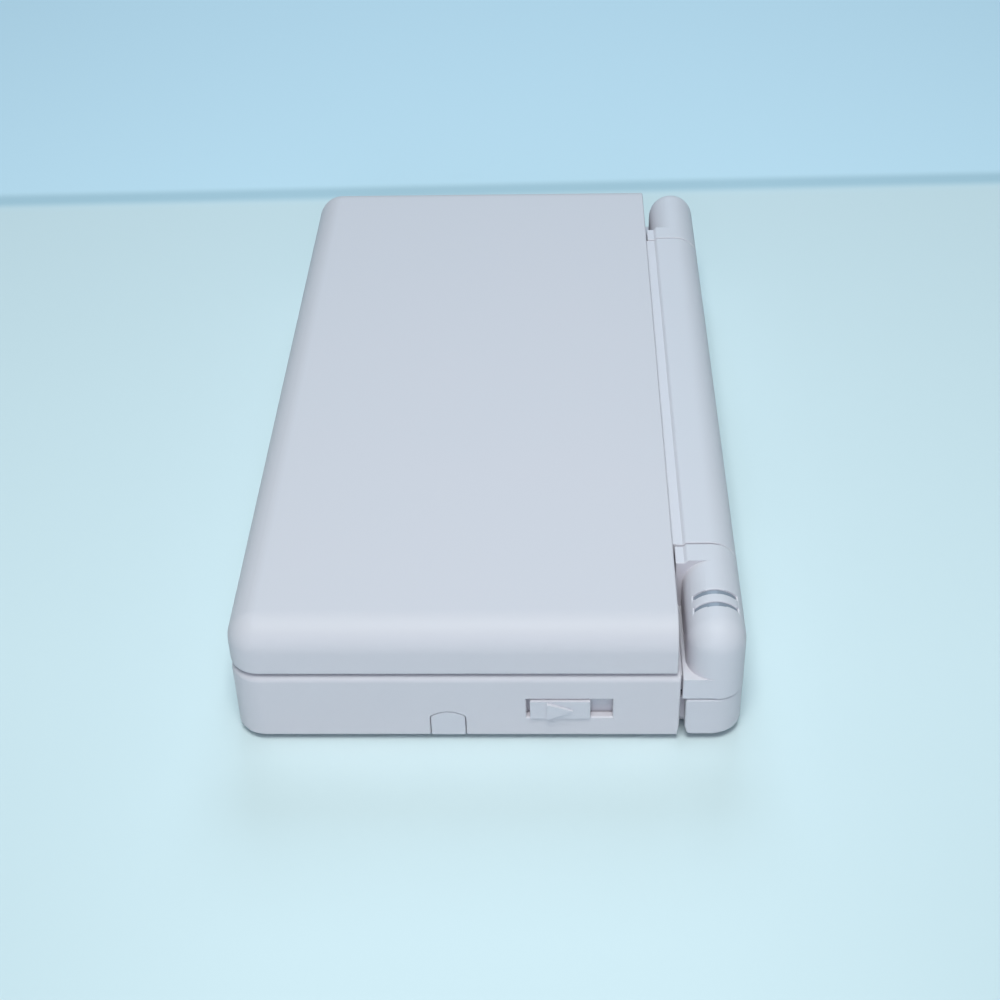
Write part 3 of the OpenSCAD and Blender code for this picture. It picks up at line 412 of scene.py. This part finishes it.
@contextmanager
def edit_mode():
    """Edit mode on the active object."""
    bpy.ops.object.mode_set(mode="EDIT")
    yield
    bpy.ops.object.mode_set(mode="OBJECT")


@contextmanager
def shape_of(mesh):
    """The mesh as a shape to work on, which is written back at the end."""
    shape = bmesh.new()
    shape.from_mesh(mesh)
    yield shape
    shape.to_mesh(mesh)
    shape.free()


def fold(edge):
    """The angle at an edge: above 0 where it stands out, below 0 where it is a crease."""
    return edge.calc_face_angle_signed(0.0) if len(edge.link_faces) == 2 else 0.0


def flat_rims(shape):
    """The edges round each flat, where a flat is all the faces that join in one plane."""
    rim_of = {}
    for face in shape.faces:
        if face in rim_of:
            continue
        rim_of[face] = rim = []
        queue = [face]
        while queue:
            for edge in queue.pop().edges:
                if len(edge.link_faces) != 2 or edge.calc_face_angle(0.0) > FLAT_ANGLE:
                    rim.append(edge)
                    continue
                for other in edge.link_faces:
                    if other not in rim_of:
                        rim_of[other] = rim
                        queue.append(other)
    return rim_of


def room_beside(loop, rim):
    """How far a flat runs on from one of its edges to the next, in metres."""
    start = loop.vert.co
    along = loop.link_loop_next.vert.co - start
    length = along.length
    along = along.normalized()
    inward = loop.face.normal.cross(along)
    room = math.inf
    for edge in rim:
        (u0, v0), (u1, v1) = (
            ((vert.co - start).dot(along), (vert.co - start).dot(inward)) for vert in edge.verts
        )
        low = max(min(u0, u1), NEAR_END * length)
        high = min(max(u0, u1), FAR_END * length)
        if edge == loop.edge or low >= high:
            continue
        for u in (low, high):
            depth = v0 + (v1 - v0) * (u - u0) / (u1 - u0)
            if depth > WELD:
                room = min(room, depth)
    return room


def without_small_rims(edges):
    """Leaves out the edges that make up the rim of a small hole, which stays crisp as a whole."""
    left, kept = set(edges), []
    while left:
        queue, chain = [left.pop()], []
        while queue:
            chain.append(queue.pop())
            joined = {
                other for vert in chain[-1].verts for other in vert.link_edges if other in left
            }
            left -= joined
            queue.extend(joined)
        points = [vert.co for edge in chain for vert in edge.verts]
        if max(max(values) - min(values) for values in zip(*points)) > SMALL_RIM:
            kept.extend(chain)
    return kept


def mark_edges(mesh, width):
    """Weighs the outer edges that have room on both of their sides for a rounding."""
    with shape_of(mesh) as shape:
        weight = shape.edges.layers.float.new("bevel_weight_edge")
        rim_of = flat_rims(shape)
        outer = [edge for edge in shape.edges if fold(edge) > OUTER_ANGLE]
        for edge in without_small_rims(outer):
            room = min(room_beside(loop, rim_of[loop.face]) for loop in edge.link_loops)
            if room > ROOM_NEEDED * width:
                edge[weight] = 1.0


def crisp_creases(mesh):
    """Keeps the inner corners crisp, also where they run out into a round."""
    with shape_of(mesh) as shape:
        for edge in shape.edges:
            if fold(edge) < -INNER_ANGLE:
                edge.smooth = False


def merge_flats():
    """Makes one face of every flat of the active object, as far as its holes allow."""
    with edit_mode():
        bpy.ops.mesh.select_all(action="SELECT")
        bpy.ops.mesh.remove_doubles(threshold=WELD)
        bpy.ops.mesh.dissolve_limited(angle_limit=FLAT_ANGLE)
        bpy.ops.mesh.select_all(action="DESELECT")


def split_flats(mesh):
    """Cuts the active object's flats into good triangles, which a rounding can't fold over."""
    for face in mesh.polygons:
        face.select = face.loop_total > 4       # The strips of a round are left whole.
    with edit_mode():
        bpy.ops.mesh.quads_convert_to_tris(quad_method="BEAUTY", ngon_method="BEAUTY")
        bpy.ops.mesh.beautify_fill(angle_limit=FLAT_ANGLE)


def modify(piece, kind, **settings):
    """Adds a modifier to the active object and applies it."""
    modifier = piece.modifiers.new(kind.lower(), kind)
    for name, value in settings.items():
        setattr(modifier, name, value)
    bpy.ops.object.modifier_apply(modifier=modifier.name)


def active_copy(name):
    """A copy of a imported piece, as the active object."""
    piece = add_object(name + "_moulded", NODES[name].data.copy())
    bpy.ops.object.select_all(action="DESELECT")
    piece.select_set(True)
    bpy.context.view_layer.objects.active = piece
    return piece


def softened(name, width_mm, segments=EDGE_SEGMENTS):
    """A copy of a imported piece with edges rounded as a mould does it. It stands for the piece."""
    width = width_mm * MM
    piece = active_copy(name)
    merge_flats()
    mark_edges(piece.data, width)
    split_flats(piece.data)
    modify(piece, "BEVEL", limit_method="WEIGHT", width=width, segments=segments,
           use_clamp_overlap=False, loop_slide=False)
    merge_flats()
    bpy.ops.object.shade_smooth_by_angle(angle=SMOOTH_ANGLE)
    crisp_creases(piece.data)
    modify(piece, "WEIGHTED_NORMAL", keep_sharp=True)
    put_on_finish(piece, name)
    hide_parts(name)
    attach(piece, BODY_OF[name])
    return piece


class CONSOLE_OT_lid(bpy.types.Operator):
    """Round the edges of the lid's cover and its inner frame"""

    bl_idname = "console.lid"
    bl_label = "Lid"

    def execute(self, context):
        rounding = context.scene.console_rounding
        softened("lid_outer_cover", rounding.lid)
        softened("lid_inner_bezel", rounding.deck)
        return {"FINISHED"}


class CONSOLE_OT_base(bpy.types.Operator):
    """Round the edges of the lower case, the deck with its knuckles, and the battery cover"""

    bl_idname = "console.base"
    bl_label = "Lower half"

    def execute(self, context):
        rounding = context.scene.console_rounding
        softened("lower_outer_case", rounding.shell)
        softened("lower_inner_case", rounding.deck)
        softened("battery_cover", rounding.shell)
        return {"FINISHED"}


class CONSOLE_OT_side_controls(bpy.types.Operator):
    """Round the shoulder buttons, the two sliders, the stylus and the slot's cover"""

    bl_idname = "console.side_controls"
    bl_label = "Side controls"

    def execute(self, context):
        rounding = context.scene.console_rounding
        for name in ("left_shoulder_button", "right_shoulder_button"):
            softened(name, rounding.shoulder)
        for name in ("power_slider", "volume_slider", "cartridge_slot_cover"):
            softened(name, rounding.small)
        self.widen_end(softened("stylus", rounding.small))
        return {"FINISHED"}

    def widen_end(self, pen):
        """Fills half of the clearance round the stylus end, which the real one hardly has."""
        right_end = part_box("stylus")[1][0]
        with edit_mode():
            bpy.ops.mesh.select_all(action="DESELECT")
        for face in pen.data.polygons:
            beside = abs(face.normal.x) < 0.3
            under = face.normal.z <= -0.5
            face.select = beside and not under and face.center.x > right_end - PEN_END
        with edit_mode():
            bpy.ops.transform.shrink_fatten(value=PEN_WIDER)


class CONSOLE_OT_face_controls(bpy.types.Operator):
    """Round the direction pad and the six buttons of the deck"""

    bl_idname = "console.face_controls"
    bl_label = "Face controls"

    def execute(self, context):
        rounding = context.scene.console_rounding
        softened("direction_pad", rounding.cap, CAP_SEGMENTS)
        for side in ("back", "right", "front", "left"):
            softened("face_button_" + side, rounding.cap, CAP_SEGMENTS)
        for name in ("start_button", "select_button"):
            softened(name, rounding.small * MENU_BUTTON_TIMES, CAP_SEGMENTS)
        return {"FINISHED"}


# ---- The stage ----


def look_matrix(stage):
    """The camera's place and turn, from its pitch, yaw and roll."""
    forward = -Vector((
        math.cos(stage.yaw) * math.cos(stage.pitch),
        math.sin(stage.yaw) * math.cos(stage.pitch),
        math.sin(stage.pitch),
    ))
    side = forward.cross(Vector((0.0, 0.0, 1.0))).normalized()
    up = side.cross(forward)
    right = math.cos(stage.roll) * side + math.sin(stage.roll) * up
    top = math.cos(stage.roll) * up - math.sin(stage.roll) * side
    turn = Matrix((right, top, -forward)).transposed().to_4x4()
    return Matrix.Translation(stage.camera_place) @ turn


def soft_lamp(name, where, side, power, colour):
    """A square area lamp that faces the console."""
    lamp = bpy.data.lights.new(name, "AREA")
    lamp.size = side
    lamp.energy = power
    lamp.color = colour
    lamp_object = add_object(name, lamp)
    lamp_object.location = where
    facing = (Vector(LAMP_AIM) - Vector(where)).to_track_quat("-Z", "Y")
    lamp_object.rotation_euler = facing.to_euler()


class CONSOLE_OT_stage(bpy.types.Operator):
    """Set up the table, the soft light and the camera"""

    bl_idname = "console.stage"
    bl_label = "Stage"

    def execute(self, context):
        stage = context.scene.console_stage
        context.scene.view_settings.view_transform = "Standard"
        self.camera(context.scene, stage)
        self.table(stage)
        self.room(context.scene, stage)
        for lamp in LAMPS:
            soft_lamp(*lamp)
        return {"FINISHED"}

    def camera(self, scene, stage):
        """A camera at the photo's place."""
        data = bpy.data.cameras.new("camera")
        data.sensor_width = SENSOR_WIDTH
        data.lens = stage.lens
        data.clip_start = NEAREST
        camera = add_object("camera", data)
        camera.matrix_world = look_matrix(stage)
        scene.camera = camera

    def table(self, stage):
        """The table that the console lies on."""
        bpy.ops.object.select_all(action="DESELECT")
        bpy.ops.mesh.primitive_plane_add(size=TABLE_SIZE, location=(0.0, 0.0, 0.0))
        floor = bpy.context.object
        floor.name = "floor"
        floor.data.materials.append(table_top(stage))

    def room(self, scene, stage):
        """Weak light from all round."""
        world = bpy.data.worlds.new("room")
        world.use_nodes = True
        fill(world.node_tree.nodes["Background"], {
            "Color": opaque(stage.room_colour),
            "Strength": stage.room_strength,
        })
        scene.world = world


# ---- What a user would change ----


class Colours(bpy.types.PropertyGroup):
    """Colours of the console"""

    shell: bpy.props.FloatVectorProperty(
        name="Shell", description="Colour of the outer cases", subtype="COLOR",
        default=(0.704, 0.640, 0.659))
    deck: bpy.props.FloatVectorProperty(
        name="Deck", description="Colour of the inner cases and the hinge", subtype="COLOR",
        default=(0.715, 0.665, 0.690))
    button: bpy.props.FloatVectorProperty(
        name="Buttons", description="Colour of the buttons, sliders and stylus", subtype="COLOR",
        default=(0.690, 0.640, 0.665))
    guide: bpy.props.FloatVectorProperty(
        name="Light guides", description="Colour of the indicator slits", subtype="COLOR",
        default=(0.27, 0.29, 0.34))
    dark: bpy.props.FloatVectorProperty(
        name="Dark plastic", description="Colour of sockets and speakers", subtype="COLOR",
        default=(0.03, 0.03, 0.035))


class Rounding(bpy.types.PropertyGroup):
    """Roundings of the console's edges"""

    lid: bpy.props.FloatProperty(
        name="Lid edges", description="Rounding of the lid's edges, in millimetres",
        default=0.25, min=0.05)
    shell: bpy.props.FloatProperty(
        name="Shell edges", description="Rounding of the lower cases' edges, in millimetres",
        default=0.25, min=0.05)
    deck: bpy.props.FloatProperty(
        name="Deck edges", description="Rounding of the inner cases' edges, in millimetres",
        default=0.2, min=0.05)
    shoulder: bpy.props.FloatProperty(
        name="Shoulder buttons", description="Rounding of a shoulder button, in millimetres",
        default=0.4, min=0.05)
    cap: bpy.props.FloatProperty(
        name="Button caps", description="Rounding of the pad and face buttons, in millimetres",
        default=0.45, min=0.05)
    small: bpy.props.FloatProperty(
        name="Small parts", description="Rounding of sliders and stylus, in millimetres",
        default=0.15, min=0.05)


class Stage(bpy.types.PropertyGroup):
    """The camera, the table and the light all round"""

    lens: bpy.props.FloatProperty(
        name="Lens", description="Focal length on a 36 mm sensor, in millimetres",
        default=62.075, min=10.0)
    camera_place: bpy.props.FloatVectorProperty(
        name="Camera place", description="Where the camera stands",
        subtype="TRANSLATION", unit="LENGTH", default=(0.245131, 0.010718, 0.181292))
    pitch: bpy.props.FloatProperty(
        name="Pitch", description="How far the camera looks down",
        subtype="ANGLE", unit="ROTATION", default=math.radians(37.439))
    yaw: bpy.props.FloatProperty(
        name="Yaw", description="How far the camera turns from the console's long axis",
        subtype="ANGLE", unit="ROTATION", default=math.radians(2.529))
    roll: bpy.props.FloatProperty(
        name="Roll", description="How far the camera leans",
        subtype="ANGLE", unit="ROTATION", default=math.radians(-1.783))
    floor_colour: bpy.props.FloatVectorProperty(
        name="Table colour", description="Colour of the table top", subtype="COLOR",
        default=(0.728, 0.818, 0.822))
    far_colour: bpy.props.FloatVectorProperty(
        name="Far colour", description="Colour of the table beyond the line", subtype="COLOR",
        default=(0.67, 0.84, 0.92))
    line_behind: bpy.props.FloatProperty(
        name="Line", description="How far the soft line lies from the console's middle",
        unit="LENGTH", default=0.106)
    line_slope: bpy.props.FloatProperty(
        name="Line slope", description="How much the soft line slants, as a share of its length",
        default=0.027)
    room_colour: bpy.props.FloatVectorProperty(
        name="Room colour", description="Colour of the light all round", subtype="COLOR",
        default=(0.50, 0.85, 1.0))
    room_strength: bpy.props.FloatProperty(
        name="Room light", description="Strength of the light all round", default=0.12, min=0.0)


class CONSOLE_PT_panel(bpy.types.Panel):
    """The console's operators, in the sidebar"""

    bl_idname = "CONSOLE_PT_panel"
    bl_label = "Console"
    bl_space_type = "VIEW_3D"
    bl_region_type = "UI"
    bl_category = "Console"

    def draw(self, context):
        for operator in OPERATORS:
            self.layout.operator(operator.bl_idname)


GROUPS = {"console_colours": Colours, "console_rounding": Rounding, "console_stage": Stage}
OPERATORS = [
    CONSOLE_OT_finishes,
    CONSOLE_OT_lid,
    CONSOLE_OT_base,
    CONSOLE_OT_side_controls,
    CONSOLE_OT_face_controls,
    CONSOLE_OT_stage,
]
CLASSES = [*GROUPS.values(), *OPERATORS, CONSOLE_PT_panel]


def register():
    for item in CLASSES:
        bpy.utils.register_class(item)
    for name, group in GROUPS.items():
        setattr(bpy.types.Scene, name, bpy.props.PointerProperty(type=group))


def unregister():
    for name in GROUPS:
        delattr(bpy.types.Scene, name)
    for item in reversed(CLASSES):
        bpy.utils.unregister_class(item)


def main():
    register()
    bpy.ops.console.finishes()
    bpy.ops.console.lid()
    bpy.ops.console.base()
    bpy.ops.console.side_controls()
    bpy.ops.console.face_controls()
    bpy.ops.console.stage()


if __name__ == "__main__":
    main()
